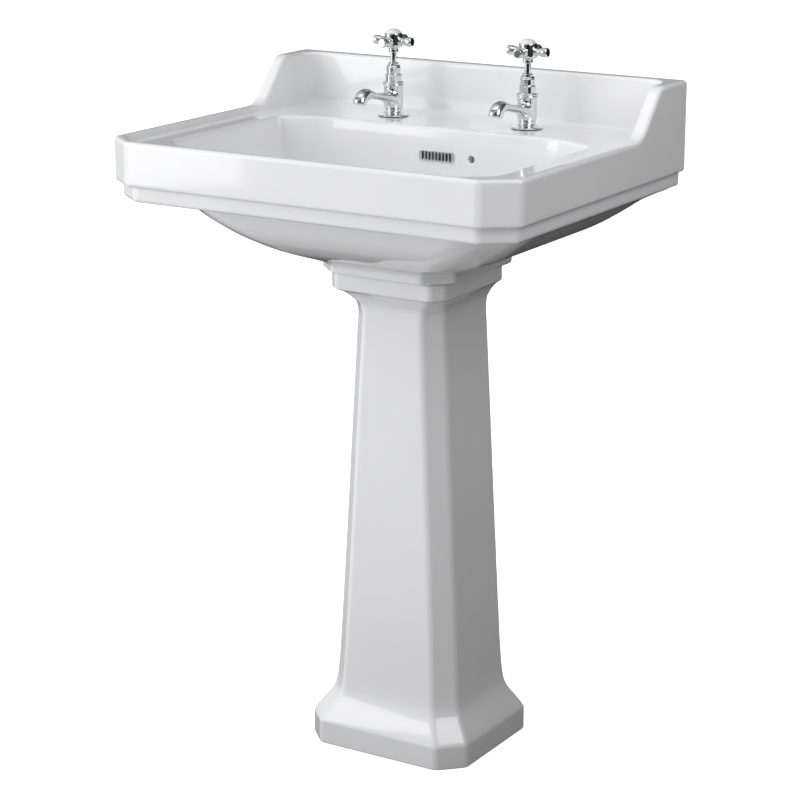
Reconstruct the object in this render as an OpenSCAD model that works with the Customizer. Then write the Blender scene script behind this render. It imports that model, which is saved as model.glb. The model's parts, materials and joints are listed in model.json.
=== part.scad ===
// Pedestal sink: a china basin on a china pedestal, two pillar taps, a push-plug waste and a bottle trap.
// Origin on the floor under the middle of the basin, front towards -Y, wall plane at +Y, +Z up.

/* [Basin] */
// Width of the basin, side to side
basin_w = 595; // [560:1:640]
// Depth of the basin, from the wall plane to the front
basin_d = 470; // [450:1:500]
// Height of the front rim above the floor
rim_z = 845; // [820:1:880]
// Height of the upper band that runs round the basin
band_h = 57; // [45:1:60]
// Height of the set-back lower band
skirt_h = 21; // [16:1:24]
// Set-back of the lower band
skirt_inset = 8; // [4:1:10]
// Width of each front corner's chamfer, measured across the basin
corner_x = 42; // [30:1:60]
// Depth of each front corner's chamfer, measured front to back
corner_y = 32; // [20:1:50]
// Thickness of the skirt that hangs from the rim
skirt_t = 13; // [10:1:16]
// Height of the upstand above the rim
upstand_h = 62; // [40:1:80]
// Thickness of the upstand and of its side wings
upstand_t = 19; // [15:1:22]
// Length of the level top of each side wing
wing_top = 76; // [60:1:100]
// Length of each side wing where it meets the rim
wing_foot = 129; // [110:1:140]
// Width of the raised lip at the front and sides
lip_w = 12; // [10:1:16]
// Depth of the ledge below the lip
ledge_drop = 7; // [4:1:9]
// Thickness of the ledge
ledge_t = 20; // [16:1:24]

/* [Pedestal] */
// Thickness of the pedestal's walls
ped_wall = 10; // [8:1:12]
// Radius of the two floor screw holes
floor_hole_r = 3.5; // [2.5:0.5:4]
// Distance between the two floor screw holes
floor_hole_gap = 192; // [186:1:198]

/* [Holes] */
// Radius of each tap hole
tap_hole_r = 17.5; // [16:0.5:18]
// Radius of the chain-stay hole
chain_hole_r = 4.8; // [4:0.1:5]
// Distance of the chain-stay hole from the middle
chain_x = 52; // [45:1:60]
// Height of the overflow and of the chain-stay hole
overflow_z = 800; // [795:1:802]
// Radius of the two wall bolt holes
wall_hole_r = 7; // [5:0.5:8]
// Distance between the two wall bolt holes
wall_hole_gap = 280; // [260:1:300]

/* [Taps] */
// Distance of each tap from the middle
tap_x = 103; // [100:1:110]
// Distance of the taps from the middle of the basin, towards the wall
tap_y = 160; // [156:1:164]
// Reach of the spout, from the tap's axis to the middle of its outlet
spout_reach = 85; // [80:1:90]
// Length of each cross handle arm, from the axis to its tip
arm_reach = 30; // [26:1:34]
// Radius of the threaded tail, half inch pipe thread
tail_r = 10.48; // [10.4:0.01:10.5]
// Length of the threaded tail below the ledge
tail_l = 52; // [45:1:60]

/* [Waste and trap] */
// Distance of the waste from the middle of the basin, towards the wall
waste_y = 45; // [40:1:50]
// Radius of the waste's tail, inch and a quarter pipe thread
waste_r = 20.95; // [20.5:0.05:21]
// Travel of the push plug
plug_travel = 8; // [5:1:10]
// Radius of the socket for the waste pipe
pipe_r = 16.2; // [16:0.1:16.4]

/* [Hidden] */
$fn = 48;
eps = 0.01;
hot = -1;
cold = 1;

// ---- heights and edges worked out from the dimensions above
half_w = basin_w / 2;
back_y = basin_d / 2;
front_y = -back_y;
ledge_z = rim_z - ledge_drop;
slab_z = ledge_z - ledge_t;
band_z = rim_z - band_h;
skirt_z = band_z - skirt_h;
upstand_y = back_y - upstand_t;
foot_z = 661;
foot_top_z = 674;
bowl_z = 693;
bowl_back_y = 102;
belly_back_y = 130;
rear_z = 716;
seal_t = 1;
ped_top_z = foot_z - seal_t;

// ---- outlines

// Eight-sided outline with chamfered corners, anticlockwise from the left of the front edge
function chamfered(hw, yf, yb, fx, fy, bx, by) =
    [[fx - hw, yf], [hw - fx, yf], [hw, yf + fy], [hw, yb - by],
     [hw - bx, yb], [bx - hw, yb], [-hw, yb - by], [-hw, yf + fy]];

// Closed solid through a stack of outlines with the same number of points, each [z, outline]
module loft(rings) {
    n = len(rings[0][1]);
    last = len(rings) - 1;
    points = [for (r = rings) for (p = r[1]) [p[0], p[1], r[0]]];
    sides = [for (k = [0:last - 1]) for (i = [0:n - 1])
        let (a = k * n + i, b = k * n + (i + 1) % n)
        for (f = [[a, a + n, b + n], [a, b + n, b]]) f];
    bottom = [for (i = [0:n - 1]) i];
    top = [for (i = [n - 1:-1:0]) last * n + i];
    polyhedron(points, concat([bottom], sides, [top]), convexity = 6);
}

// Round tube swept along points in the XZ plane, each [x, z, radius], square to the path
module sweep_tube(path, sides) {
    last = len(path) - 1;
    function heading(i) = let (a = path[max(i - 1, 0)], b = path[min(i + 1, last)])
        atan2(b[1] - a[1], b[0] - a[0]);
    points = [for (i = [0:last]) let (h = heading(i)) for (k = [0:sides - 1])
        let (t = 360 * k / sides, r = path[i][2])
        [path[i][0] - r * cos(t) * sin(h), r * sin(t), path[i][1] + r * cos(t) * cos(h)]];
    skin = [for (i = [0:last - 1]) for (k = [0:sides - 1])
        let (a = i * sides + k, b = i * sides + (k + 1) % sides)
        for (f = [[a, b + sides, a + sides], [a, b, b + sides]]) f];
    start = [for (k = [sides - 1:-1:0]) k];
    end = [for (k = [0:sides - 1]) last * sides + k];
    polyhedron(points, concat([start], skin, [end]), convexity = 4);
}

// Ring with a square section, from z upwards
module ring(r_out, r_in, z, h) {
    translate([0, 0, z]) difference() {
        cylinder(r = r_out, h = h);
        translate([0, 0, -1]) cylinder(r = r_in, h = h + 2);
    }
}

// Hexagonal nut, from z upwards, across is its size across flats
module hex_nut(across, r_in, z, h) {
    translate([0, 0, z]) difference() {
        cylinder(r = across / 2 / cos(30), h = h, $fn = 6);
        translate([0, 0, -1]) cylinder(r = r_in, h = h + 2);
    }
}

// ---- basin

// Foot that stands on the pedestal: half width, front, chamfer across and front to back
foot = [97, -46, 33, 30];

// Underside of the bowl: [z, half width, front, chamfer across, chamfer front to back]
belly = [
    [foot_z, foot[0] - 6, foot[1] + 3, foot[2], foot[3]],
    [foot_z + 3, foot[0] - 1.6, foot[1] + 1, foot[2], foot[3]],
    [foot_z + 7, foot[0], foot[1], foot[2], foot[3]],
    [foot_top_z - 1, foot[0], foot[1], foot[2], foot[3]],
    [foot_top_z + 1, 101, -49, 33, 30],
    [684, 118, -64, 34, 30],
    [698, 147, -97, 37, 30],
    [709, 174, -117, 46, 34],
    [718, 196, -130, 55, 40],
    [724, 206, -137, 55, 40],
    [731, 216, -144, 54, 40],
    [741, 232, -151, 54, 40],
    [752, 250, -156, 58, 42],
    [skirt_z, 281, -161, 66, 48],
    [slab_z + 5, 283, -166, 66, 48]];

// Side cheeks behind the bowl, seen from inside: [z, half width]
cheeks = [[rear_z - 20, 176], [rear_z, 177], [724, 192], [731, 202], [741, 218], [752, 236],
          [skirt_z, 264], [slab_z, 268]];

// Inside of the bowl: [z, half width, front, back, front chamfer x and y, back chamfer x and y]
bowl = [
    [bowl_z, 38, 7, 83, 12, 12, 12, 12],
    [697, 75, -28, 92, 25, 18, 20, 15],
    [704, 115, -68, 96, 38, 26, 30, 20],
    [714, 152, -98, 98, 50, 33, 38, 24],
    [727, 188, -120, 100, 60, 40, 44, 27],
    [745, 212, -137, 101, 66, 44, 48, 29],
    [770, 229, -151, bowl_back_y, 70, 46, 50, 30],
    [812, 239, -172, bowl_back_y, 72, 48, 50, 30],
    [826, 241, -181, bowl_back_y + 2, 73, 49, 50, 30],
    [ledge_z, 246, -191, bowl_back_y + 9, 74, 50, 50, 30],
    [rim_z + 5, 246, -191, bowl_back_y + 9, 74, 50, 50, 30]];

// Plan of the basin, drawn in by a margin at the front and sides
module basin_plan(inset, back) {
    fx = corner_x - inset * 0.3;
    fy = corner_y - inset * 0.3;
    polygon(chamfered(half_w - inset, front_y + inset, back, fx, fy, eps, eps));
}

module basin_block() {
    translate([0, 0, band_z]) linear_extrude(rim_z - band_z) basin_plan(0, back_y);
    translate([0, 0, skirt_z]) linear_extrude(skirt_h) basin_plan(skirt_inset, back_y);
}

// Upstand along the wall with a wing on each side that slopes down to the rim
module upstand() {
    translate([-half_w, upstand_y, ledge_z]) cube([basin_w, upstand_t, upstand_h + ledge_drop]);
    side = [[back_y, ledge_z], [back_y, rim_z + upstand_h], [back_y - wing_top, rim_z + upstand_h],
            [back_y - wing_foot, rim_z], [back_y - wing_foot, ledge_z]];
    for (x = [-half_w, half_w - upstand_t])
        translate([x, 0, 0]) rotate([90, 0, 90]) linear_extrude(upstand_t) polygon(side);
}

// Open space under the front rim, between the skirt and the bowl
module front_space() {
    inset = skirt_inset + skirt_t;
    translate([0, 0, skirt_z - 5]) linear_extrude(slab_z - skirt_z + 5)
        basin_plan(inset, belly_back_y);
}

// Open space behind the bowl for the taps' tails, open from below
module rear_space() {
    depth = back_y - skirt_t;
    loft([for (c = cheeks) [c[0], chamfered(c[1], belly_back_y, depth, 1, 1, 1, 1)]]);
    translate([-half_w, belly_back_y, foot_z - 1]) cube([basin_w, basin_d, rear_z - foot_z + 1]);
}

// Channel cast behind the bowl, from the overflow down to the waste
module overflow_channel() {
    hw = 22;
    y0 = bowl_back_y + 8;
    translate([-hw, y0, 673]) cube([2 * hw, 10, overflow_z + 8 - 673]);
    translate([-hw, waste_y, 673]) cube([2 * hw, y0 + 10 - waste_y, 10]);
}

// Slot with round ends, lying along X, cut along Y
module slot_along_y(w, h, depth) {
    rotate([-90, 0, 0]) linear_extrude(depth) union() {
        square([w - h, h], center = true);
        for (s = [-1, 1]) translate([s * (w - h) / 2, 0]) circle(d = h);
    }
}

grille_w = 55;
grille_h = 16;
insert_w = 49;
insert_h = 11.6;

module basin() {
    color("white") difference() {
        union() {
            difference() {
                basin_block();
                front_space();
            }
            loft([for (r = belly) [r[0], chamfered(r[1], r[2], back_y, r[3], r[4], 8, 8)]]);
            upstand();
        }
        rear_space();
        translate([0, 0, ledge_z]) linear_extrude(ledge_drop + 1)
            polygon([[corner_x - half_w + 8, front_y + lip_w], [half_w - corner_x - 8, front_y + lip_w],
                     [half_w - lip_w, front_y + corner_y + 8], [half_w - lip_w, back_y - wing_foot],
                     [half_w - upstand_t, back_y - wing_foot], [half_w - upstand_t, upstand_y],
                     [upstand_t - half_w, upstand_y], [upstand_t - half_w, back_y - wing_foot],
                     [lip_w - half_w, back_y - wing_foot], [lip_w - half_w, front_y + corner_y + 8]]);
        loft([for (r = bowl) [r[0], chamfered(r[1], r[2], r[3], r[4], r[5], r[6], r[7])]]);
        overflow_channel();
        translate([0, bowl_back_y - 5, overflow_z]) slot_along_y(insert_w, insert_h, 15);
        translate([chain_x, bowl_back_y - 5, overflow_z]) rotate([-90, 0, 0])
            cylinder(r = chain_hole_r, h = belly_back_y - bowl_back_y + 10);
        for (s = [hot, cold]) translate([s * tap_x, tap_y, slab_z - 1])
            cylinder(r = tap_hole_r, h = ledge_t + 2);
        for (s = [-1, 1]) translate([s * wall_hole_gap / 2, back_y - skirt_t - 1, overflow_z])
            rotate([-90, 0, 0]) cylinder(r = wall_hole_r, h = skirt_t + 2);
        translate([0, waste_y, foot_z - 1]) cylinder(r = 22.5, h = 50);
        translate([0, waste_y, bowl_z - 3]) cylinder(r = 33, h = 10);
    }
}

module overflow_grille() {
    bars = 9;
    pitch = 5.2;
    color("silver") translate([0, bowl_back_y, overflow_z]) difference() {
        union() {
            translate([0, -1.4, 0]) slot_along_y(grille_w, grille_h, 1.4);
            slot_along_y(insert_w - 0.4, insert_h - 0.4, 7);
        }
        for (i = [0:bars - 1])
            translate([(i - (bars - 1) / 2) * pitch - 1.5, -5, -4.5]) cube([3, 20, 9]);
    }
}

// ---- pedestal: [z, half width, front, back, chamfer]

// Outline near the foot, spread is 0 on the shaft and 1 on the foot block
function foot_ring(z, spread) =
    [z, 92.5 + 30 * spread, -21.7 - 28.3 * spread, 126 + 17 * spread, 25 + 6 * spread];

shell = [
    foot_ring(0, 0.95),
    foot_ring(3, 1.01),
    foot_ring(30, 1.01),
    foot_ring(36, 0.96),
    foot_ring(42, 0.86),
    foot_ring(48, 0.7),
    foot_ring(54, 0.53),
    foot_ring(60, 0.38),
    foot_ring(66, 0.27),
    foot_ring(74, 0.18),
    foot_ring(88, 0.11),
    foot_ring(110, 0.05),
    foot_ring(135, 0),
    [600, 67, -11.3, 124, 23],
    [613, 68, -12, 124, 22],
    [625, 73.5, -18.5, 125, 20],
    [634, 80.5, -27, 127, 18],
    [640, 87.2, -36, 130, 15.5],
    [ped_top_z, 87.2, -36, 130, 15.5]];

module pedestal() {
    out = 60;
    color("white") difference() {
        union() {
            difference() {
                loft([for (r = shell) [r[0], chamfered(r[1], r[2], r[3], r[4], r[4], 8, 8)]]);
                loft([for (k = [0:len(shell) - 1]) let (r = shell[k], c = r[4] - ped_wall * 0.59)
                    [r[0] + (k == 0 ? -1 : k == len(shell) - 1 ? 1 : 0),
                     chamfered(r[1] - ped_wall, r[2] + ped_wall, r[3] + out, c, c, 8, 8)]]);
            }
            for (s = [-1, 1]) translate([s * 98 - 14, 90, 0]) cube([28, 36, 12]);
        }
        for (s = [-1, 1]) translate([s * floor_hole_gap / 2, 108, -1])
            cylinder(r = floor_hole_r, h = 14);
    }
}

// Bead of sealant between the pedestal's top edge and the basin's foot
module pedestal_seal() {
    color("gainsboro") translate([0, 0, ped_top_z]) linear_extrude(seal_t) difference() {
        polygon(chamfered(85, -34, 128, 14.5, 14.5, 7, 7));
        polygon(chamfered(79, -28, 150, 11, 11, 7, 7));
    }
}

// ---- taps; heights here are above the ledge
flange_r = 21.5;
barrel_r = 13;
barrel_top = 47;
cavity_r = 9.5;
seat_h = 24;
disc_h = 3;
spindle_r = 4.1;
hub_h = 93;
hub_top = 112;
arm_h = 101;
pocket_h = 106;
index_r = 9;
handle_foot = 86;

// Moves a tap's piece to its place, side is hot or cold
module at_tap(side) {
    translate([side * tap_x, tap_y, ledge_z]) children();
}

// Outline of the tap's body, turned: foot flange, waist, shoulder, barrel and top beads
module body_turning() {
    rotate_extrude($fn = 64) polygon([
        [0, seal_t], [flange_r, seal_t], [flange_r, 2.2], [20, 3], [13.5, 4.2], [11.6, 6], [10.8, 8],
        [11.4, 10], [12.6, 11.5], [barrel_r, 14], [barrel_r, 40.5], [14.2, 41.5], [14.5, 42.6],
        [14.2, 43.7], [13.6, 44.2], [14.2, 44.7], [14.4, 45.5], [14, 46.3], [13, barrel_top],
        [0, barrel_top]]);
}

// Middle line and radius of the spout: [reach, height, radius]
spout = [[3, 24, 9.6], [12, 25.6, 8.8], [20, 27.4, 7.4], [28, 29.1, 6.1], [36, 30.8, 5.2],
         [44, 32.4, 4.9], [52, 34.2, 5.2], [60, 36.2, 6.3], [68, 37.2, 7.8], [75, 36.6, 8.8],
         [79.5, 34.6, 9.3], [83, 31.6, 9.5], [85, 28, 9.5]];

module tap_body(side) {
    color("silver") at_tap(side) difference() {
        union() {
            body_turning();
            rotate([0, 0, -90]) sweep_tube(spout, 20);
            translate([0, 0, -tail_l]) cylinder(r = tail_r, h = tail_l + 5);
        }
        translate([0, 0, -tail_l - 1]) cylinder(r = 7, h = tail_l + seat_h + 2);
        translate([0, 0, seat_h]) cylinder(r = cavity_r, h = barrel_top);
        translate([0, -6, 27.5]) rotate([90 - 7, 0, 0]) cylinder(r = 3.4, h = 66);
        translate([0, -spout_reach + 4, 20]) cylinder(r = 4.5, h = 18);
        ring(tail_r + 1, tail_r - 0.7, -ledge_t - 14, 1.5);
    }
}

module base_seal(side) {
    color("dimgray") at_tap(side) ring(20.8, 11, 0, seal_t);
}

module under_washer(side) {
    color("whitesmoke") at_tap(side) difference() {
        union() {
            ring(22, tail_r + 0.2, -ledge_t - 3, 3);
            ring(tap_hole_r - 0.4, tail_r + 0.2, -ledge_t, 8);
        }
    }
}

module backnut(side) {
    color("goldenrod") at_tap(side) union() {
        ring(16.5, tail_r + 0.05, -ledge_t - 5, 2);
        hex_nut(27, tail_r + 0.05, -ledge_t - 12, 7);
    }
}

module seat_seal(side) {
    color("dimgray") at_tap(side) ring(cavity_r - 0.2, 7, seat_h, 1.5);
}

// Ceramic disc with two opposite quarter ports
module disc(z, turn) {
    color("ivory") translate([0, 0, z]) rotate([0, 0, turn]) difference() {
        cylinder(r = 7.4, h = disc_h);
        for (a = [0, 180]) rotate([0, 0, a]) translate([0, 0, -1]) linear_extrude(disc_h + 2)
            polygon([[1.5, 1.5], [5.4, 1.5], [4.4, 3.4], [3.4, 4.4], [1.5, 5.4]]);
    }
}

fixed_z = seat_h + 1.5;
turning_z = fixed_z + disc_h;
carrier_z = turning_z + disc_h;

module fixed_disc(side) {
    at_tap(side) disc(fixed_z, 0);
}

module turning_disc(side) {
    at_tap(side) disc(turning_z, 90);
}

// Cartridge body: a sleeve round the discs, a collar on the barrel and a neck round the spindle
module valve_body(side) {
    color("goldenrod") at_tap(side) difference() {
        rotate_extrude($fn = 64) polygon([
            [7.7, fixed_z], [cavity_r - 0.1, fixed_z], [cavity_r - 0.1, barrel_top], [9.6, barrel_top],
            [9.6, barrel_top + 3], [8.2, barrel_top + 3], [8.2, 64], [spindle_r + 0.08, 64],
            [spindle_r + 0.08, carrier_z + 4], [7.7, carrier_z + 4]]);
        for (a = [0, 90]) rotate([0, 0, a])
            translate([-12, -3, carrier_z - 2.6]) cube([24, 6, 5]);
    }
}

// Polished cover over the cartridge, with two turned grooves and a small top lip
module gland(side) {
    color("silver") at_tap(side) rotate_extrude($fn = 64) polygon([
        [9.7, barrel_top], [10.9, barrel_top], [10.9, 55.6], [10.2, 56.3], [9, 56.8], [9.6, 57.6],
        [9.6, 65], [8.8, 65.9], [8.2, 66.6], [9.2, 67.2], [8.6, 68.2], [7, 68.8], [7, 71], [6.4, 71.6],
        [spindle_r + 0.1, 71.6], [spindle_r + 0.1, 64.1], [8.3, 64.1], [8.3, barrel_top + 3.1],
        [9.7, barrel_top + 3.1]]);
}

// Spindle: a carrier that grips the turning disc, a shaft, and the end that the handle fits on
module spindle(side) {
    color("silver") at_tap(side) rotate_extrude($fn = 64) polygon([
        [0, carrier_z], [7.2, carrier_z], [7.2, carrier_z + 3.9], [spindle_r, carrier_z + 3.9],
        [spindle_r, 58], [3.1, 58], [3.1, 60.4], [spindle_r, 60.4], [spindle_r, 104], [1.6, 104],
        [1.6, 94], [0, 94]]);
}

module spindle_ring(side) {
    color("dimgray") at_tap(side) translate([0, 0, 59.2]) rotate_extrude($fn = 64)
        translate([3.62, 0]) circle(r = 0.5, $fn = 24);
}

// One arm of the cross, turned about its own axis: neck, flare and domed tip
module arm() {
    translate([0, 0, arm_h]) rotate([0, 90, 0]) rotate_extrude($fn = 40) polygon([
        [0, 8], [5.2, 8], [5.1, 13], [4.6, 15.5], [4.7, 18], [5.5, 21], [6.3, 23.5], [6.5, 25.5],
        [6.3, 27.4], [5.5, 28.8], [4, 29.6], [2, arm_reach - 0.05], [0, arm_reach]]);
}

module cross_handle(side) {
    color("silver") at_tap(side) difference() {
        union() {
            rotate_extrude($fn = 64) polygon([
                [0, handle_foot], [6.2, handle_foot], [6.8, 87], [6.8, 89.6], [6.3, 90.6], [7.6, 91.6],
                [11.2, hub_h], [12, 94.6], [12, 107.6], [11.8, 109.6], [11.2, 111.2], [10.4, hub_top],
                [0, hub_top]]);
            for (a = [0:90:270]) rotate([0, 0, a]) arm();
        }
        translate([0, 0, handle_foot - 1]) cylinder(r = spindle_r + 0.03, h = 19);
        translate([0, 0, 103]) cylinder(r = 2.2, h = 5);
        translate([0, 0, pocket_h]) cylinder(r = index_r + 0.2, h = 10);
    }
}

module handle_screw(side) {
    color("silver") at_tap(side) difference() {
        union() {
            translate([0, 0, 95]) cylinder(r = 1.6, h = 11.5);
            translate([0, 0, pocket_h]) cylinder(r = 3.4, h = 2);
        }
        translate([-3, -0.4, 107.2]) cube([6, 0.8, 2]);
    }
}

// White domed button that closes the top of the handle
module index(side) {
    color("ivory") at_tap(side) rotate_extrude($fn = 64) polygon([
        [0, pocket_h + 3], [6.6, pocket_h + 3], [6.6, pocket_h], [index_r, pocket_h],
        [index_r, 112.4], [8.7, 113.7], [7.7, 115.2], [5.8, 116.5], [3.2, 117.3], [0, 117.6]]);
}

// ---- waste; heights here are above the floor
flange_z = bowl_z - 2;
waste_end = 600;
seat_z = flange_z + 1;
plug_z = seat_z + plug_travel + 0.2;

module at_waste() {
    translate([0, waste_y, 0]) children();
}

module waste_body() {
    color("silver") at_waste() difference() {
        union() {
            rotate_extrude($fn = 64) polygon([
                [17.5, waste_end], [waste_r, waste_end], [waste_r, flange_z], [31, flange_z],
                [32, flange_z + 1], [31.6, flange_z + 2], [29, flange_z + 3], [26, flange_z + 3],
                [25, seat_z], [17.5, seat_z]]);
            translate([0, 0, 645]) cylinder(r = 10, h = 8);
            for (a = [0, 60, 120]) rotate([0, 0, a])
                translate([-18, -1.5, 645]) cube([36, 3, 8]);
        }
        translate([0, 0, 640]) cylinder(r = 6.1, h = 20);
        translate([-8, -30, 668]) cube([16, 60, 18]);
    }
}

module waste_top_seal() {
    color("dimgray") at_waste() ring(30, 21.2, bowl_z - 3, 1);
}

module waste_under_seal() {
    color("dimgray") at_waste() ring(31, waste_r + 0.05, foot_z - 5, 5);
}

module waste_backnut() {
    color("goldenrod") at_waste() union() {
        ring(30, waste_r + 0.05, foot_z - 8, 3);
        hex_nut(52, waste_r + 0.05, foot_z - 17, 9);
    }
}

// Push-to-close cartridge, held in the boss of the waste
module waste_cartridge() {
    color("whitesmoke") at_waste() rotate_extrude($fn = 64) polygon([
        [0, 628], [6, 628], [6, 653], [8.5, 653], [8.5, 676], [6.5, 678], [3.6, 678], [3.6, 632],
        [0, 632]]);
}

module plug_stem() {
    color("goldenrod") at_waste() union() {
        translate([0, 0, 646]) cylinder(r = 3.5, h = plug_z + 2 - 646);
        translate([0, 0, plug_z - 2]) cylinder(r = 9, h = 2);
    }
}

module plug_seal() {
    color("dimgray") at_waste() ring(23, 17, plug_z, 2);
}

module plug_cap() {
    top = plug_z + 2;
    color("silver") at_waste() difference() {
        rotate_extrude($fn = 64) polygon([
            [0, top - 2], [16.8, top - 2], [16.8, top], [24, top], [24, top + 1.6], [23.4, top + 2.8],
            [21, top + 4], [15, top + 5.1], [8, top + 5.8], [0, top + 6]]);
        translate([0, 0, top - 3]) cylinder(r = 3.5, h = 3);
    }
}

// ---- trap
trap_top = waste_end - 3;
outlet_z = 556;
outlet_end = 112;
bottle_r = 30;
dip_r = 17.5;
cup_top = 534;

module trap_inlet_seal() {
    color("dimgray") at_waste() ring(20.8, 15.5, trap_top, waste_end - trap_top);
}

// Nut that pulls the trap's flange up to the waste, with finger ribs
module trap_inlet_nut() {
    color("silver") at_waste() difference() {
        union() {
            translate([0, 0, trap_top - 9]) cylinder(r = 26, h = 27);
            for (a = [0:45:315]) rotate([0, 0, a])
                translate([25, -2, trap_top - 7]) cube([3, 4, 23]);
        }
        translate([0, 0, trap_top - 10]) cylinder(r = 18.2, h = 40);
        translate([0, 0, trap_top - 5]) cylinder(r = waste_r + 0.3, h = 40);
    }
}

// Bottle top with its dip tube and the side outlet towards the wall
module trap_body() {
    color("silver") at_waste() difference() {
        union() {
            rotate_extrude($fn = 64) polygon([
                [15.5, 500], [dip_r, 500], [dip_r, 574], [24, 574], [26, 570], [27, 562], [27, 530],
                [bottle_r, 530], [bottle_r, 572], [27, 580], [dip_r + 0.5, 583], [dip_r + 0.5, trap_top - 5],
                [20.8, trap_top - 5], [20.8, trap_top], [15.5, trap_top]]);
            translate([0, 20, outlet_z]) rotate([-90, 0, 0])
                cylinder(r = 20, h = outlet_end - waste_y - 20);
        }
        translate([0, 22, outlet_z]) rotate([-90, 0, 0]) cylinder(r = 13, h = 80);
        translate([0, 46, outlet_z]) rotate([-90, 0, 0]) cylinder(r = pipe_r, h = 80);
        translate([0, 0, 530 - eps]) difference() {
            cylinder(r = 27, h = 43);
            translate([0, 0, -1]) cylinder(r = dip_r, h = 50);
        }
    }
}

module trap_cup_seal() {
    color("dimgray") at_waste() ring(bottle_r - 0.1, 24, 527, 3);
}

// Bottom of the bottle, which unscrews for cleaning
module trap_cup() {
    color("silver") at_waste() union() {
        rotate_extrude($fn = 64) polygon([
            [0, 476], [18, 476], [26, 480], [29, 488], [29, 513], [33, 516], [33, cup_top],
            [bottle_r + 0.3, cup_top], [bottle_r + 0.3, 527], [23, 527], [23, 488], [21, 484],
            [16, 480.5], [0, 480.5]]);
        for (a = [0:30:330]) rotate([0, 0, a]) translate([32, -1.5, 518]) cube([2.5, 3, 14]);
    }
}

module at_outlet() {
    translate([0, outlet_end, outlet_z]) rotate([-90, 0, 0]) children();
}

module trap_outlet_seal() {
    color("dimgray") at_outlet() ring(19, pipe_r + 0.4, 0, 4);
}

module trap_outlet_nut() {
    color("silver") at_outlet() difference() {
        union() {
            translate([0, 0, -16]) cylinder(r = 25, h = 24);
            for (a = [22.5:45:337.5]) rotate([0, 0, a]) translate([24, -2, -14]) cube([3, 4, 20]);
        }
        translate([0, 0, -17]) cylinder(r = 20.3, h = 21);
        translate([0, 0, -1]) cylinder(r = pipe_r + 0.8, h = 12);
    }
}

basin();
pedestal();
pedestal_seal();
overflow_grille();
tap_body(hot);  // hot_tap_body
base_seal(hot);  // hot_base_seal
under_washer(hot);  // hot_under_washer
backnut(hot);  // hot_backnut
seat_seal(hot);  // hot_seat_seal
fixed_disc(hot);  // hot_fixed_disc
valve_body(hot);  // hot_valve_body
gland(hot);  // hot_gland
turning_disc(hot);  // hot_turning_disc
spindle(hot);  // hot_spindle
spindle_ring(hot);  // hot_spindle_ring
cross_handle(hot);  // hot_cross_handle
handle_screw(hot);  // hot_handle_screw
index(hot);  // hot_index
tap_body(cold);  // cold_tap_body
base_seal(cold);  // cold_base_seal
under_washer(cold);  // cold_under_washer
backnut(cold);  // cold_backnut
seat_seal(cold);  // cold_seat_seal
fixed_disc(cold);  // cold_fixed_disc
valve_body(cold);  // cold_valve_body
gland(cold);  // cold_gland
turning_disc(cold);  // cold_turning_disc
spindle(cold);  // cold_spindle
spindle_ring(cold);  // cold_spindle_ring
cross_handle(cold);  // cold_cross_handle
handle_screw(cold);  // cold_handle_screw
index(cold);  // cold_index
waste_body();
waste_top_seal();
waste_under_seal();
waste_backnut();
waste_cartridge();
plug_cap();
plug_seal();
plug_stem();
trap_body();
trap_inlet_nut();
trap_inlet_seal();
trap_cup();
trap_cup_seal();
trap_outlet_nut();
trap_outlet_seal();
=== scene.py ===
"""Pedestal sink: the looks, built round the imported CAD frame.

China and cast metal are distance fields in millimetres: each edge and cove gets its own radius,
surface nets turn the field into quads, and every point is then drawn onto the exact surface.
Turned pieces are lathed from a profile with rounded corners. What is hidden inside keeps its CAD
mesh and gets a material. x runs to the right, y to the wall and z up."""

import json
import math

import bpy
import numpy as np
from mathutils import Matrix, Vector


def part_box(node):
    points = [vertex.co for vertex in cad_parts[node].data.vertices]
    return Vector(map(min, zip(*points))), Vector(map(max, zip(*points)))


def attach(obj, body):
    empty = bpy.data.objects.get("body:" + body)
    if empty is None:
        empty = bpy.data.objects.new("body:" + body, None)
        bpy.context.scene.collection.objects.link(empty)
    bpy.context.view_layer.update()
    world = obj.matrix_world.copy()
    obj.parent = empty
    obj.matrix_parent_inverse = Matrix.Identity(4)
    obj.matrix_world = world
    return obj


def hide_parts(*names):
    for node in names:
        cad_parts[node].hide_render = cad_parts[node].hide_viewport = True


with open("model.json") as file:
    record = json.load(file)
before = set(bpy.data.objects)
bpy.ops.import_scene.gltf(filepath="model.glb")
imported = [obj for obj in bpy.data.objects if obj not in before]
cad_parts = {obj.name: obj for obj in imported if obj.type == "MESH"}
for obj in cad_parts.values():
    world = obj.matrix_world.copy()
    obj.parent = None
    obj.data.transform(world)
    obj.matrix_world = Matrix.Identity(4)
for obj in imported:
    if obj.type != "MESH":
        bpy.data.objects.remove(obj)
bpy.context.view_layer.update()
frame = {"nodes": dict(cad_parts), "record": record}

MM = 0.001


def box_mm(node):
    """Lowest and highest corner of a CAD node, in millimetres."""
    low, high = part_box(node)
    return np.array(low) / MM, np.array(high) / MM


# ---- distance fields: negative inside, millimetres

def both(a, b, r):
    """Inside a and inside b, with the edge between them rounded to radius r."""
    return np.minimum(np.maximum(a, b), -r) + np.hypot(np.maximum(a + r, 0), np.maximum(b + r, 0))


def either(a, b, r):
    """Inside a or inside b, with a cove of radius r between them."""
    return -both(-a, -b, r)


def without(a, b, r):
    """Inside a and outside b, with the edge rounded to radius r."""
    return both(a, -b, r)


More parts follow.
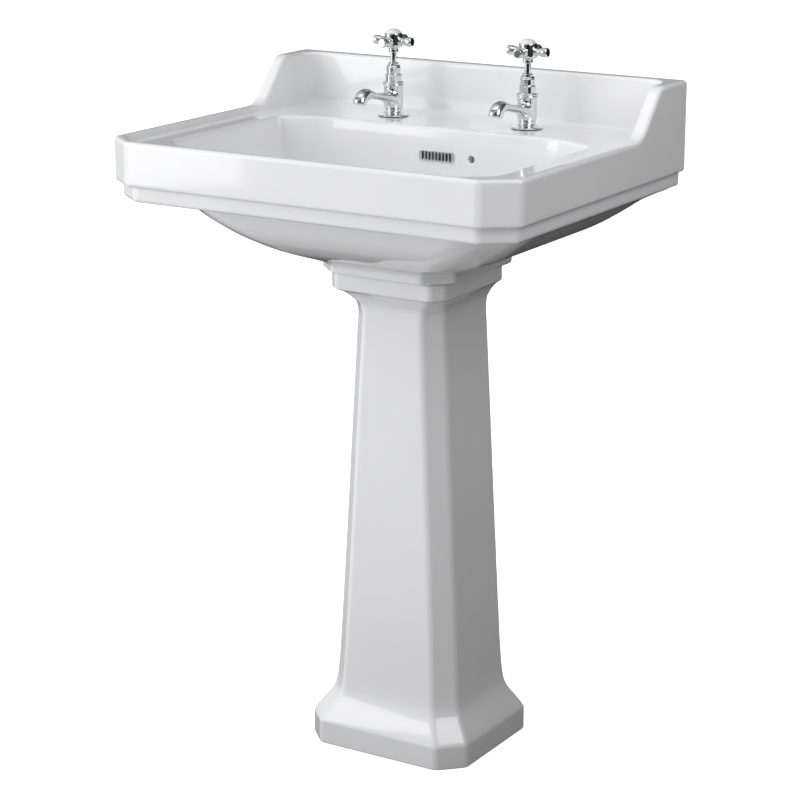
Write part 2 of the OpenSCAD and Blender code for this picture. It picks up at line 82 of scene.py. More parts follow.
def curve(table):
    """Function from the table's first column to its others, smooth and without overshoot."""
    t = np.array([row[0] for row in table], float)
    v = np.array([row[1:] for row in table], float)
    step = np.diff(t)[:, None]
    rise = np.diff(v, axis=0) / step
    tangent = np.zeros_like(v)
    same_way = rise[:-1] * rise[1:] > 0
    total = rise[:-1] + rise[1:]
    tangent[1:-1] = np.where(same_way, 2 * rise[:-1] * rise[1:] / np.where(same_way, total, 1), 0)
    tangent[0], tangent[-1] = rise[0], rise[-1]

    def at(x):
        x = np.clip(x, t[0], t[-1])
        k = np.clip(np.searchsorted(t, x, side="right") - 1, 0, len(t) - 2)
        h = t[k + 1] - t[k]
        s = ((x - t[k]) / h)[..., None]
        h = h[..., None]
        return np.moveaxis(
            (1 + 2 * s) * (1 - s) ** 2 * v[k] + s * (1 - s) ** 2 * h * tangent[k]
            + s * s * (3 - 2 * s) * v[k + 1] + s * s * (s - 1) * h * tangent[k + 1], -1, 0)
    return at


def plan(x, y, half, front, back, fx, fy, bx, by, r):
    """Eight-sided outline, fx by fy chamfers in front and bx by by behind, corners rounded to r."""
    side = np.abs(x) - half
    front_cut = (side * fy - (y - front - fy) * fx) / np.hypot(fx, fy)
    back_cut = (side * by + (y - back + by) * bx) / np.hypot(bx, by)
    edge = both(both(side, front_cut, r), back_cut, r)
    return both(both(edge, front - y, r), y - back, r)


def loft(x, y, z, rings, r, reach=2.0):
    """Outlines that change with height, divided by their slope so that it reads as a distance."""
    slope = (plan(x, y, *rings(z + reach), r) - plan(x, y, *rings(z - reach), r)) / (2 * reach)
    return plan(x, y, *rings(z), r) / np.sqrt(1 + slope ** 2)


def lathe_field(radius, z, outline, reach=0.4):
    """Turned solid whose radius is a curve of its height."""
    slope = (outline(z + reach)[0] - outline(z - reach)[0]) / (2 * reach)
    return (radius - outline(z)[0]) / np.sqrt(1 + slope ** 2)


def slab(v, low, high, r):
    """Between two planes."""
    return both(low - v, v - high, r)


# ---- meshes

def link(name, mesh):
    obj = bpy.data.objects.new(name, mesh)
    bpy.context.scene.collection.objects.link(obj)
    return obj


BLOCK = 4
# how far from a block's middle the surface may be for the block to be sampled, in blocks
NEAR = 1.7
# room left round a mesh's box, in cells
MARGIN = 1.5
# how far apart the field is sampled for a normal, in cells
PROBE = 0.05
CORNERS = [(i, j, k) for i in (0, 1) for j in (0, 1) for k in (0, 1)]


def sampled(field, low, cell, blocks):
    """The field on a grid, worked out at every point only in blocks the surface may cross."""
    fine = [low[a] + cell * np.arange(blocks[a] * BLOCK) for a in range(3)]
    middle = [low[a] + cell * (np.arange(blocks[a]) * BLOCK + (BLOCK - 1) / 2) for a in range(3)]
    grid = np.meshgrid(*middle, indexing="ij")
    values = field(*[g.ravel() for g in grid]).reshape(blocks)
    near = np.abs(values) < BLOCK * cell * NEAR
    for a in range(3):
        values = np.repeat(values, BLOCK, axis=a)
        near = np.repeat(near, BLOCK, axis=a)
    i, j, k = np.nonzero(near)
    values[i, j, k] = field(fine[0][i], fine[1][j], fine[2][k])
    return values


def surface_net(values, low, cell):
    """One point for each cell that the surface crosses, one quad for each grid line it crosses."""
    inside = values < 0
    shape = [n - 1 for n in values.shape]

    def corner(array, c):
        return array[c[0]:c[0] + shape[0], c[1]:c[1] + shape[1], c[2]:c[2] + shape[2]]

    count = sum(corner(inside, c).astype(np.int8) for c in CORNERS)
    i, j, k = np.nonzero((count > 0) & (count < 8))
    number = np.full(shape, -1, np.int64)
    number[i, j, k] = np.arange(len(i))
    total = np.zeros((len(i), 3))
    crossings = np.zeros(len(i))
    for c in CORNERS:
        for axis in range(3):
            if c[axis]:
                continue
            d = list(c)
            d[axis] = 1
            a = values[i + c[0], j + c[1], k + c[2]]
            b = values[i + d[0], j + d[1], k + d[2]]
            crosses = (a < 0) != (b < 0)
            share = np.where(crosses, a / np.where(crosses, a - b, 1), 0)
            point = np.array(c, float)[None, :].repeat(len(i), 0)
            point[:, axis] += share
            total += point * crosses[:, None]
            crossings += crosses
    points = low + cell * (np.stack([i, j, k], 1) + total / crossings[:, None])
    quads = []
    for axis in range(3):
        u, v = (axis + 1) % 3, (axis + 2) % 3
        first = [slice(None)] * 3
        second = [slice(None)] * 3
        first[axis], second[axis] = slice(None, -1), slice(1, None)
        for a in (u, v):
            first[a] = second[a] = slice(1, -1)
        here, there = inside[tuple(first)], inside[tuple(second)]
        at = list(np.nonzero(here != there))
        leaving = here[tuple(at)]
        at[u], at[v] = at[u] + 1, at[v] + 1

        def cell_number(du, dv):
            place = list(at)
            place[u], place[v] = at[u] - du, at[v] - dv
            return number[tuple(place)]

        around = ((1, 1), (0, 1), (0, 0), (1, 0))
        ring = np.stack([cell_number(du, dv) for du, dv in around], 1)
        quads.append(np.where(leaving[:, None], ring, ring[:, ::-1]))
    return points, np.concatenate(quads)


def outward(field, points, step):
    """Unit normals of the field at the points, from four samples each."""
    total = np.zeros_like(points)
    for way in ((1, 1, 1), (1, -1, -1), (-1, 1, -1), (-1, -1, 1)):
        way = np.array(way, float)
        total += way * field(*(points + step * way).T)[:, None]
    return total / np.maximum(np.linalg.norm(total, axis=1, keepdims=True), 1e-9)


def drawn_on(field, points, cell, rounds=3):
    """The points moved along their normals onto the surface."""
    for _ in range(rounds):
        off = np.clip(field(*points.T), -cell, cell)
        points = points - off[:, None] * outward(field, points, PROBE * cell)
    return points


def mesh_of(name, field, low, high, cell, origin=(0, 0, 0), most_faces=None):
    """Mesh of a field between two corners, with no point outside them.

    Over most_faces triangles, its flattest parts are thinned out."""
    box = np.array([low, high], float)
    start = box[0] - MARGIN * cell
    blocks = [int(np.ceil((high[a] + MARGIN * cell - start[a]) / (cell * BLOCK))) for a in range(3)]
    points, quads = surface_net(sampled(field, start, cell, blocks), start, cell)
    points = drawn_on(field, points, cell)
    mesh = bpy.data.meshes.new(name)
    mesh.from_pydata(points, [], quads.tolist())
    obj = link(name, mesh)
    if most_faces and 2 * len(quads) > most_faces:
        thin = obj.modifiers.new("thin", "DECIMATE")
        thin.ratio = most_faces / (2 * len(quads))
        graph = bpy.context.evaluated_depsgraph_get()
        mesh = bpy.data.meshes.new_from_object(obj.evaluated_get(graph))
        obj.modifiers.clear()
        obj.data = mesh
        mesh.name = name
    points = np.zeros(3 * len(mesh.vertices))
    mesh.vertices.foreach_get("co", points)
    points = np.clip(drawn_on(field, points.reshape(-1, 3), cell, 2), *box)
    normals = outward(field, points, PROBE * cell)
    mesh.vertices.foreach_set("co", ((points + np.array(origin)) * MM).ravel())
    mesh.polygons.foreach_set("use_smooth", np.ones(len(mesh.polygons), bool))
    mesh.update()
    mesh.normals_split_custom_set_from_vertices(normals)
    return obj


NEARLY_STRAIGHT = math.radians(80)
SHARE_OF_SIDE = 0.45


def rounded(points, r, steps):
    """A closed profile with its corners rounded to radius r, or less where the sides are short."""
    made = []
    for k, p in enumerate(points):
        p, a, b = (np.array(q, float) for q in (p, points[k - 1], points[(k + 1) % len(points)]))
        to_a, to_b = a - p, b - p
        la, lb = np.linalg.norm(to_a), np.linalg.norm(to_b)
        to_a, to_b = to_a / la, to_b / lb
        half = math.acos(max(-1, min(1, float(to_a @ to_b)))) / 2
        if half > NEARLY_STRAIGHT or p[0] < 1e-6:
            made.append(p)
            continue
        cut = min(r / math.tan(half), SHARE_OF_SIDE * la, SHARE_OF_SIDE * lb)
        start, end = p + to_a * cut, p + to_b * cut
        for s in range(steps + 1):
            t = s / steps
            made.append((1 - t) ** 2 * start + 2 * t * (1 - t) * p + t * t * end)
    return made


def turned(name, profile, origin, r=0.4, around=72, steps=4):
    """Solid of revolution of a closed profile of (radius, height), anticlockwise."""
    line = rounded(profile, r, steps)
    places, faces, rings = [], [], []
    for radius, height in line:
        if radius < 1e-6:
            rings.append([len(places)] * around)
            places.append((0, 0, height))
            continue
        rings.append(list(range(len(places), len(places) + around)))
        for k in range(around):
            a = 2 * math.pi * k / around
            places.append((radius * math.cos(a), radius * math.sin(a), height))
    for n, one in enumerate(rings):
        two = rings[(n + 1) % len(rings)]
        for k in range(around):
            m = (k + 1) % around
            corners = [one[k], one[m], two[m], two[k]]
            corners = [c for i, c in enumerate(corners) if c != corners[i - 1]]
            if len(corners) > 2:
                faces.append(corners)
    mesh = bpy.data.meshes.new(name)
    mesh.from_pydata((np.array(places, float) + np.array(origin)) * MM, [], faces)
    mesh.polygons.foreach_set("use_smooth", np.ones(len(faces), bool))
    mesh.update()
    return link(name, mesh)


# ---- basin

basin_low, basin_high = box_mm("basin")
HALF_W = basin_high[0]
WALL_Y = basin_high[1]
FRONT_Y = basin_low[1]
FOOT_Z = basin_low[2]
TOP_Z = basin_high[2]
RIM_Z = TOP_Z - 62
LEDGE_Z = RIM_Z - 7
SLAB_Z = LEDGE_Z - 20
BAND_Z = RIM_Z - 57
SKIRT_Z = BAND_Z - 21
SKIRT_INSET = 8
SKIRT_T = 13
CORNER = (42, 32)
CORNER_SHRINKS = 0.3
LIP_W = 12
UPSTAND_T = 19
WING_TOP_Y = WALL_Y - 76
WING_FOOT_Y = WALL_Y - 129
BELLY_BACK_Y = 130
CHEEK_FOOT_Z = FOOT_Z + 55
HEEL_Y = 150
HEEL_R = 57
BOWL_Z = FOOT_Z + 32
WASTE_Y = 45
WASTE_HOLE_R = 22.5
WASTE_SEAT_R = 33
WASTE_SEAT_DEPTH = 3
OVERFLOW_Z = 800
OVERFLOW_Y = 102
SLOT_HALF = 18.7
SLOT_R = 5.8
CHANNEL_HALF = 22
CHANNEL_Y = (OVERFLOW_Y + 8, OVERFLOW_Y + 18)
CHANNEL_Z = (FOOT_Z + 12, OVERFLOW_Z + 8)
HOLE_REACH = 12
CHAIN_X = 52
CHAIN_HOLE_R = 4.8
WALL_HOLE_X = 140
WALL_HOLE_Z = 800
WALL_HOLE_R = 7
TAP_X = 103
TAP_Y = 160
TAP_HOLE_R = 17.5
PAST_FACE = 8

# height; half width, front, back; front chamfers in x and y, back chamfers in x and y
BELLY = curve([
    (FOOT_Z, 95, -45.5, 300, 33, 30, 8, 8),
    (FOOT_Z + 2, 98.5, -49, 300, 33, 30, 8, 8),
    (FOOT_Z + 4, 100.5, -51, 300, 33, 30, 8, 8),
    (FOOT_Z + 12, 101, -51.5, 300, 33, 30, 8, 8),
    (FOOT_Z + 14, 103, -53.5, 300, 33, 30, 8, 8),
    (FOOT_Z + 17, 106, -57, 300, 33, 30, 8, 8),
    (FOOT_Z + 20, 112, -64, 300, 34, 30, 8, 8),
    (694, 147, -97, 300, 37, 30, 8, 8),
    (705, 175, -117, 300, 46, 34, 8, 8),
    (714, 196, -130, 300, 53, 39, 8, 8),
    (728, 219, -144, 300, 55, 41, 8, 8),
    (739, 235, -151, 300, 55, 41, 8, 8),
    (751, 252, -156, 300, 58, 42, 8, 8),
    (SKIRT_Z, 279, -161, 300, 66, 48, 8, 8),
    (SKIRT_Z + 14, 281, -182, 300, 66, 48, 8, 8),
    (SLAB_Z + 5, 283, -207, 300, 66, 48, 8, 8)])
BOWL = curve([
    (BOWL_Z, 38, 7, 83, 12, 12, 12, 12),
    (697, 75, -28, 92, 25, 18, 20, 12),
    (704, 115, -68, 96, 38, 26, 34, 17),
    (714, 152, -98, 98, 48, 33, 44, 20),
    (727, 186, -120, 100, 54, 38, 50, 22),
    (745, 208, -138, 101, 56, 41, 54, 24),
    (770, 223, -154, OVERFLOW_Y, 58, 42, 57, 25),
    (812, 233, -186, OVERFLOW_Y, 58, 42, 58, 26),
    (LEDGE_Z, 238, -204, OVERFLOW_Y + 3, 58, 42, 58, 26)])
# height; half of the space between the cheeks behind the bowl
CHEEKS = curve([
    (CHEEK_FOOT_Z - 20, 176), (CHEEK_FOOT_Z, 177), (724, 192), (731, 202), (741, 218),
    (752, 236), (SKIRT_Z, 264), (SLAB_Z, 268)])


def inset_plan(x, y, inset, r):
    """The basin's outline drawn in by a margin, running on past the wall plane."""
    fx, fy = (c - CORNER_SHRINKS * inset for c in CORNER)
    return plan(x, y, HALF_W - inset, FRONT_Y + inset, WALL_Y + 60, fx, fy, 1, 1, r)


def rim_profile(y, z):
    """Level rim that sweeps up into the wings and the upstand."""
    run, rise = WING_TOP_Y - WING_FOOT_Y, TOP_Z - RIM_Z
    slope = (run * (z - RIM_Z) - rise * (y - WING_FOOT_Y)) / math.hypot(run, rise)
    return either(z - RIM_Z, both(z - TOP_Z, slope, 9), 12)


def rim_and_skirt(x, y, z):
    """The band round the rim with the skirt set back below it, hollow underneath."""
    band = both(both(inset_plan(x, y, 0, 4), rim_profile(y, z), 5), BAND_Z - z, 3.5)
    skirt = both(inset_plan(x, y, SKIRT_INSET, 3.5), slab(z, SKIRT_Z, BAND_Z + 12, 5), 5)
    under = inset_plan(x, y, SKIRT_INSET + SKIRT_T, 6)
    under = both(both(under, y - BELLY_BACK_Y, 4), z - SLAB_Z, 6)
    return without(either(band, skirt, 3), under, 4)


def belly(x, y, z):
    """The outside of the bowl, crisp at the collar on the pedestal and softer above it."""
    corner_r = np.interp(z, (678, 705), (3, 14))
    return both(loft(x, y, z, BELLY, corner_r), slab(z, FOOT_Z, SLAB_Z + 4, 1.5), 1.5)


def open_back(x, y, z):
    """Space between the cheeks behind the bowl, and what is cut from their lower rear corner."""
    rear = plan(x, y, CHEEKS(z)[0], BELLY_BACK_Y, WALL_Y - SKIRT_T, 1, 1, 1, 1, 8)
    rear = both(rear, z - SLAB_Z, 6)
    heel = HEEL_R - np.hypot(np.maximum(y - HEEL_Y, 0), SKIRT_Z - z)
    low_back = both(both(BELLY_BACK_Y - y, heel, 4), z - SKIRT_Z, 2)
    return either(rear, low_back, 3)


def top_hollow(x, y, z):
    """Space above the ledge, inside the lip, the wings and the upstand."""
    blend = np.clip((y - WING_FOOT_Y + 10) / 18, 0, 1)
    blend = blend * blend * (3 - 2 * blend)
    side = np.abs(x) - (HALF_W - LIP_W - (UPSTAND_T - LIP_W) * blend)
    lip = inset_plan(x, y, LIP_W, 9)
    return both(both(lip, both(side, y - (WALL_Y - UPSTAND_T), 26), 4), LEDGE_Z - z, 6)


def bowl(x, y, z):
    """The inside of the bowl, rounder in the corners low down."""
    inside = loft(x, y, z, BOWL, np.interp(z, (700, 750), (16, 7)))
    return both(both(inside, BOWL_Z - z, 4), z - LEDGE_Z - 40, 1)


def basin_field(x, y, z):
    body = either(rim_and_skirt(x, y, z), belly(x, y, z), 3)
    body = without(body, open_back(x, y, z), 3)
    body = without(body, top_hollow(x, y, z), 4.5)
    body = without(body, bowl(x, y, z), 5)
    from_waste = np.hypot(x, y - WASTE_Y)
    body = without(body, from_waste - WASTE_HOLE_R, 1)
    seat = both(from_waste - WASTE_SEAT_R, BOWL_Z - WASTE_SEAT_DEPTH - z, 0.5)
    body = without(body, seat, 1.5)
    channel = both(slab(x, -CHANNEL_HALF, CHANNEL_HALF, 1), slab(y, *CHANNEL_Y, 1), 1)
    body = without(body, both(channel, slab(z, *CHANNEL_Z, 1), 1), 1)
    slot = np.hypot(np.maximum(np.abs(x) - SLOT_HALF, 0), z - OVERFLOW_Z) - SLOT_R
    slot = both(slot, slab(y, OVERFLOW_Y - HOLE_REACH, OVERFLOW_Y + HOLE_REACH, 0.5), 0.5)
    body = without(body, slot, 1)
    chain = np.hypot(x - CHAIN_X, z - OVERFLOW_Z) - CHAIN_HOLE_R
    chain = both(chain, slab(y, OVERFLOW_Y - HOLE_REACH, BELLY_BACK_Y + PAST_FACE, 0.5), 0.5)
    body = without(body, chain, 1.2)
    tap = np.hypot(np.abs(x) - TAP_X, y - TAP_Y) - TAP_HOLE_R
    body = without(body, both(tap, SLAB_Z - PAST_FACE - z, 0.5), 1)
    bolt = np.hypot(np.abs(x) - WALL_HOLE_X, z - WALL_HOLE_Z) - WALL_HOLE_R
    body = without(body, both(bolt, WALL_Y - SKIRT_T - PAST_FACE - y, 0.5), 1)
    return both(body, y - WALL_Y, 3)


# ---- pedestal

pedestal_low, pedestal_high = box_mm("pedestal")
PEDESTAL_TOP = pedestal_high[2]
PEDESTAL_WALL = 10
OPEN_BACK = 60
LUG = (98, 108)
LUG_HALF = (14, 18)
LUG_H = 12
SCREW_X = 96
SCREW_R = 3.5
SCREW_H = 16
# half width, front, back and chamfer low on the shaft, and what the foot block adds to each
SHAFT_LOW = (92.5, -21.7, 126, 25)
FOOT_ADDS = (30, -28.3, 17, 6)


def foot_ring(z, spread):
    """Ring near the foot; spread is 0 on the shaft and 1 on the foot block."""
    return (z, *(low + spread * more for low, more in zip(SHAFT_LOW, FOOT_ADDS)))


# height; half width, front, back, chamfer
SHELL = curve([
    foot_ring(0, 1.01), foot_ring(31, 1.01), foot_ring(34, 0.975), foot_ring(42, 0.82),
    foot_ring(48, 0.68), foot_ring(54, 0.53), foot_ring(60, 0.39), foot_ring(66, 0.28),
    foot_ring(74, 0.185), foot_ring(88, 0.11), foot_ring(110, 0.05), foot_ring(135, 0),
    (580, 68.1, -11.75, 124.1, 23.1), (600, 67, -11.3, 124, 23), (613, 68, -12, 124, 22),
    (625, 73.5, -18.5, 125, 20), (634, 80.5, -27, 127, 18), (640, 87.2, -36, 130, 15.5),
    (PEDESTAL_TOP, 87.2, -36, 130, 15.5)])
CHAMFER_GROWS = 0.59


def shell_rings(grow, back):
    """Rings moved out by grow, square to the sloping sides, and run on by back at the rear."""
    def at(z):
        slope = (SHELL(z + 2)[0] - SHELL(z - 2)[0]) / 4
        half, front, rear, chamfer = SHELL(z)
        out = grow * np.sqrt(1 + slope ** 2)
        chamfer = chamfer + CHAMFER_GROWS * out
        return half + out, front - out, rear + back, chamfer, chamfer, 2, 2
    return at


def pedestal_field(x, y, z):
    outer = both(loft(x, y, z, shell_rings(0, 0), 3.5), slab(z, 0, PEDESTAL_TOP, 2), 2)
    shell = without(outer, loft(x, y, z, shell_rings(-PEDESTAL_WALL, OPEN_BACK), 5), 2.5)
    lug = both(slab(np.abs(x), LUG[0] - LUG_HALF[0], LUG[0] + LUG_HALF[0], 3),
               slab(y, LUG[1] - LUG_HALF[1], LUG[1] + LUG_HALF[1], 3), 3)
    shell = either(shell, both(lug, slab(z, 0, LUG_H, 2), 2), 4)
    hole = both(np.hypot(np.abs(x) - SCREW_X, y - LUG[1]) - SCREW_R, z - SCREW_H, 0.5)
    return without(shell, hole, 0.8)


# ---- taps; heights here are above the ledge, places are from the tap's own axis

BARREL_R = 13
BARREL_TOP = 47
CAVITY_R = 9.5
CAVITY_Z = 24
OUTLET = (84.9, 25.6)
OUTLET_FACE = (0.27, 0.963)
BORE_Y = 84.6
BORE_R = 7
BORE_TOP = 36
BORE_LEAN = 0.05
TAIL_R = 10.48
TAIL_ROOT_R = 9.3
TAIL_BORE_R = 7
TAIL_END = -52
TAIL_TOP = 20
GASKET = ((11, 19.6), 1)

# height; radius
BARREL = curve([
    (0.6, 20.9), (1.1, 21.4), (1.7, 21.4), (2.4, 20.6), (3, 18.6), (3.7, 15.4), (4.6, 13.2),
    (6, 11.6), (8, 10.8), (9.4, 11), (10.8, 12), (12.2, 12.7), (14, BARREL_R), (40, BARREL_R),
    (40.8, 13.5), (41.5, 14.2), (42.5, 14.5), (43.4, 14.2), (44.1, 13.5), (44.8, 14.1),
    (45.5, 14.4), (46.3, 14), (BARREL_TOP, 13)])
# reach; height, half height, half width
SPOUT_END = 60
SPOUT = curve([
    (0, 23.5, 10, 10.5), (6, 24.2, 9.6, 10.3), (12, 25.6, 8.6, 9.7), (20, 27.5, 7, 8.6),
    (28, 29.2, 5.8, 7.5), (36, 30.8, 5.1, 6.7), (44, 32.4, 4.8, 6.3), (52, 34.2, 5.1, 6.4),
    (SPOUT_END, 36.1, 6.1, 7)])
# reach, height, half height, half width where the spout turns down to its outlet
SPOUT_TIP = [
    (66, 37, 7.3, 7.7), (71, 37, 8.1, 8.3), (75.5, 36.2, 8.7, 8.8), (79.3, 34.4, 9.1, 9.2),
    (82.2, 31.9, 9.3, 9.4), (84, 29, 9.35, 9.5), (84.9, 25.6, 9.35, 9.5)]


def spout_path():
    """Points along the spout's middle line with its half height and half width there."""
    straight = [(t, *SPOUT(np.array([float(t)]))[:, 0]) for t in np.linspace(0, SPOUT_END, 22)]
    smooth = curve([(n, *row) for n, row in enumerate(straight[-3:] + SPOUT_TIP)])
    return straight + [tuple(smooth(np.array([t]))[:, 0]) for t in np.linspace(2.35, 9, 26)]


SPOUT_PATH = spout_path()


def spout_field(x, y, z):
    """Swept oval along the spout's path, closest piece of the path first."""
    best = np.full(np.shape(x), 1e9)
    for a, b in zip(SPOUT_PATH, SPOUT_PATH[1:]):
        along = np.array([b[0] - a[0], b[1] - a[1]])
        length = float(np.hypot(*along))
        along = along / length
        dy, dz = -y - a[0], z - a[1]
        t = np.clip((dy * along[0] + dz * along[1]) / length, 0, 1)
        high, wide = a[2] + (b[2] - a[2]) * t, a[3] + (b[3] - a[3]) * t
        off = np.hypot(dy - t * length * along[0], dz - t * length * along[1])
        best = np.minimum(best, np.hypot(x * high / wide, off) - high)
    return best


def tap_body_field(x, y, z):
    radius = np.hypot(x, y)
    barrel = both(lathe_field(radius, z, BARREL), slab(z, 1, BARREL_TOP, 0.5), 0.5)
    past_outlet = (-y - OUTLET[0]) * OUTLET_FACE[0] - (z - OUTLET[1]) * OUTLET_FACE[1]
    spout = both(both(spout_field(x, y, z), past_outlet, 1.2), y - 4, 2)
    body = either(barrel, spout, 5)
    bore = np.hypot(x, -y - BORE_Y + (z - OUTLET[1]) * BORE_LEAN) - BORE_R
    body = without(body, both(bore, z - BORE_TOP, 2), 1)
    return without(body, both(radius - CAVITY_R, CAVITY_Z - z, 0.5), 0.3)


def ridges(r, low, count, pitch, depth):
    """Profile points of a thread's ridges, from the bottom up."""
    shape = [(depth, 0), (depth, 0.2), (0, 0.45), (0, 0.75)]
    return [(r - d, low + (n + up) * pitch) for n in range(count) for d, up in shape]


TAIL = ([(TAIL_BORE_R, TAIL_END), (TAIL_ROOT_R, TAIL_END)]
        + ridges(TAIL_R, TAIL_END + 1, 25, 1.85, 0.9)
        + [(TAIL_R, -3), (TAIL_R, TAIL_TOP), (TAIL_BORE_R, TAIL_TOP)])


# ---- cross handle; heights and places as for the taps

HANDLE_FOOT = 86
HUB_TOP = 112
ARM_Z = 101
ARM_REACH = 30
STEM_HOLE_R = 4.15
BUTTON_R = 10.4
BUTTON_TOP = 117.6
BUTTON_FIT = 0.2
POCKET_Z = 106

# height; radius
HUB = curve([
    (HANDLE_FOOT, 6.2), (86.8, 6.7), (89.4, 6.7), (90.4, 6.4), (91.2, 7.2), (92.2, 9.2),
    (93.2, 11.1), (94.6, 11.9), (96.5, 12.05), (106.5, 12.05), (109, 12), (110.8, 11.8),
    (111.6, 11.5), (HUB_TOP, 11.1)])
# distance from the axis; radius
ARM = curve([
    (0, 5.6), (11, 5.4), (13, 5.2), (15.5, 4.9), (18, 5.2), (20.5, 5.8), (23, 6.3), (25.5, 6.45),
    (28, 6.35), (29.3, 6), (ARM_REACH, 5.5)])


def arm_field(along, across, z):
    t = np.abs(along)
    return both(lathe_field(np.hypot(across, z - ARM_Z), t, ARM), t - ARM_REACH, 0.9)


def handle_field(x, y, z):
    radius = np.hypot(x, y)
    hub = both(lathe_field(radius, z, HUB), slab(z, HANDLE_FOOT, HUB_TOP, 0.4), 0.4)
    arms = np.minimum(arm_field(x, y, z), arm_field(y, x, z))
    body = without(either(hub, arms, 1.2), radius - STEM_HOLE_R, 0.3)
    return without(body, both(radius - BUTTON_R - BUTTON_FIT, POCKET_Z - z, 0.2), 0.5)


DOME_Z = HUB_TOP - 0.8
BUTTON = [(0, POCKET_Z), (BUTTON_R, POCKET_Z)] + [
    (BUTTON_R * math.cos(a), DOME_Z + (BUTTON_TOP - DOME_Z) * math.sin(a))
    for a in np.linspace(0, math.pi / 2, 12)]


# ---- overflow grille; y is from the bowl's back wall, positive into it

BEZEL = (55, 16)
INSERT = (49, 12.6)
INSERT_GAP = 0.4
DISH_MARGIN = 1.6
END_FLAT = 2.4
SLOTS = 9
SLOT_PITCH = 5.2
SLOT_FLAT = 3.7
SLOT_END_R = 1.75


def oval(x, z, size, margin=0.0):
    """Rounded rectangle with a short straight part, twice END_FLAT, at each end."""
    width, height = (side - margin for side in size)
    r = height / 2 - END_FLAT
    past_side = np.maximum(np.abs(x) - width / 2 + r, 0)
    return np.hypot(past_side, np.maximum(np.abs(z) - END_FLAT, 0)) - r


def grille_field(x, y, z):
    """Bezel and insert with upright slots."""
    bezel = both(oval(x, z, BEZEL), slab(y, -1.4, 0, 0.3), 1.1)
    insert = both(oval(x, z, INSERT, INSERT_GAP), slab(y, -1.2, 7, 0.3), 0.3)
    dish = both(both(oval(x, z, INSERT, DISH_MARGIN), -0.75 - y, 0.2), y + 0.7, 0.2)
    face = without(np.minimum(bezel, insert), dish, 0.35)
    last = (SLOTS - 1) / 2
    nearest = np.clip(np.round(x / SLOT_PITCH), -last, last) * SLOT_PITCH
    slot = np.hypot(x - nearest, np.maximum(np.abs(z) - SLOT_FLAT, 0)) - SLOT_END_R
    return without(face, slot, 0.35)


# ---- materials

# the middle of a noise texture's values, spread over the whole of each ramp
NOISE_RANGE = (0.3, 0.7)


def material(name, color, metal=0.0, rough=(0.1, 0.1), grain=40.0, shade=0.02,
             bump=0.0, bump_grain=60.0, **sockets):
    """Noise in the piece's own coordinates drives the colour, the roughness and the bump."""
    made = bpy.data.materials.new(name)
    made.use_nodes = True
    nodes, links = made.node_tree.nodes, made.node_tree.links
    shader = nodes["Principled BSDF"]
    for socket, value in sockets.items():
        shader.inputs[socket.replace("_", " ")].default_value = value
    shader.inputs["Metallic"].default_value = metal
    place = nodes.new("ShaderNodeTexCoord")

    def noise(scale, detail):
        texture = nodes.new("ShaderNodeTexNoise")
        texture.inputs["Scale"].default_value = scale
        texture.inputs["Detail"].default_value = detail
        links.new(place.outputs["Object"], texture.inputs["Vector"])
        return texture.outputs["Fac"]

    mottle = noise(grain, 4)
    ramp = nodes.new("ShaderNodeValToRGB")
    for stop, at, side in zip(ramp.color_ramp.elements, NOISE_RANGE, (1 - shade, 1 + shade)):
        stop.position = at
        stop.color = (*(min(1, c * side) for c in color), 1)
    links.new(mottle, ramp.inputs["Fac"])
    links.new(ramp.outputs["Color"], shader.inputs["Base Color"])
    spread = nodes.new("ShaderNodeMapRange")
    for socket, value in zip(("From Min", "From Max", "To Min", "To Max"), (*NOISE_RANGE, *rough)):
        spread.inputs[socket].default_value = value
    links.new(mottle, spread.inputs["Value"])
    links.new(spread.outputs["Result"], shader.inputs["Roughness"])
    if bump:
        height = nodes.new("ShaderNodeBump")
        height.inputs["Strength"].default_value = 1
        height.inputs["Distance"].default_value = bump
        links.new(noise(bump_grain, 2), height.inputs["Height"])
        links.new(height.outputs["Normal"], shader.inputs["Normal"])
    return made


LOOKS = {
    "vitreous_china": dict(color=(0.87, 0.872, 0.885), rough=(0.06, 0.11), grain=9, shade=0.008,
                           bump=0.00025, bump_grain=22, Coat_Weight=0.35, Coat_Roughness=0.03),
    "chrome": dict(color=(0.78, 0.79, 0.81), metal=1, rough=(0.035, 0.075), grain=70, shade=0.02,
                   bump=0.00002, bump_grain=160),
    "brass": dict(color=(0.76, 0.58, 0.3), metal=1, rough=(0.22, 0.38), grain=150, shade=0.08,
                  bump=0.00006, bump_grain=500),
    "rubber": dict(color=(0.03, 0.03, 0.032), rough=(0.6, 0.8), grain=300, shade=0.2,
                   bump=0.0001, bump_grain=900),
    "ceramic_disc": dict(color=(0.82, 0.78, 0.7), rough=(0.25, 0.4), grain=400, shade=0.04,
                         bump=0.00003, bump_grain=900),
    "porcelain": dict(color=(0.86, 0.85, 0.82), rough=(0.08, 0.14), grain=120, shade=0.02,
                      bump=0.00003, bump_grain=200, Coat_Weight=0.5, Coat_Roughness=0.04),
    "white_plastic": dict(color=(0.83, 0.83, 0.81), rough=(0.35, 0.5), grain=260, shade=0.03,
                          bump=0.00005, bump_grain=700),
    "sealant": dict(color=(0.8, 0.8, 0.79), rough=(0.3, 0.45), grain=90, shade=0.03,
                    bump=0.0003, bump_grain=120)}
MATERIALS = {slot: material(slot, **look) for slot, look in LOOKS.items()}


def paint(obj, slot):
    obj.data.materials.clear()
    obj.data.materials.append(MATERIALS[slot])


def dress(obj, slot, body, *nodes):
    """A new piece's material, its body and the CAD nodes that it stands for."""
    paint(obj, slot)
    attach(obj, body)
    if nodes:
        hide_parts(*nodes)


# ---- make the pieces

CELL = {"basin": 2.2, "pedestal": 2.6, "tap": 0.7, "handle": 0.55, "grille": 0.4}

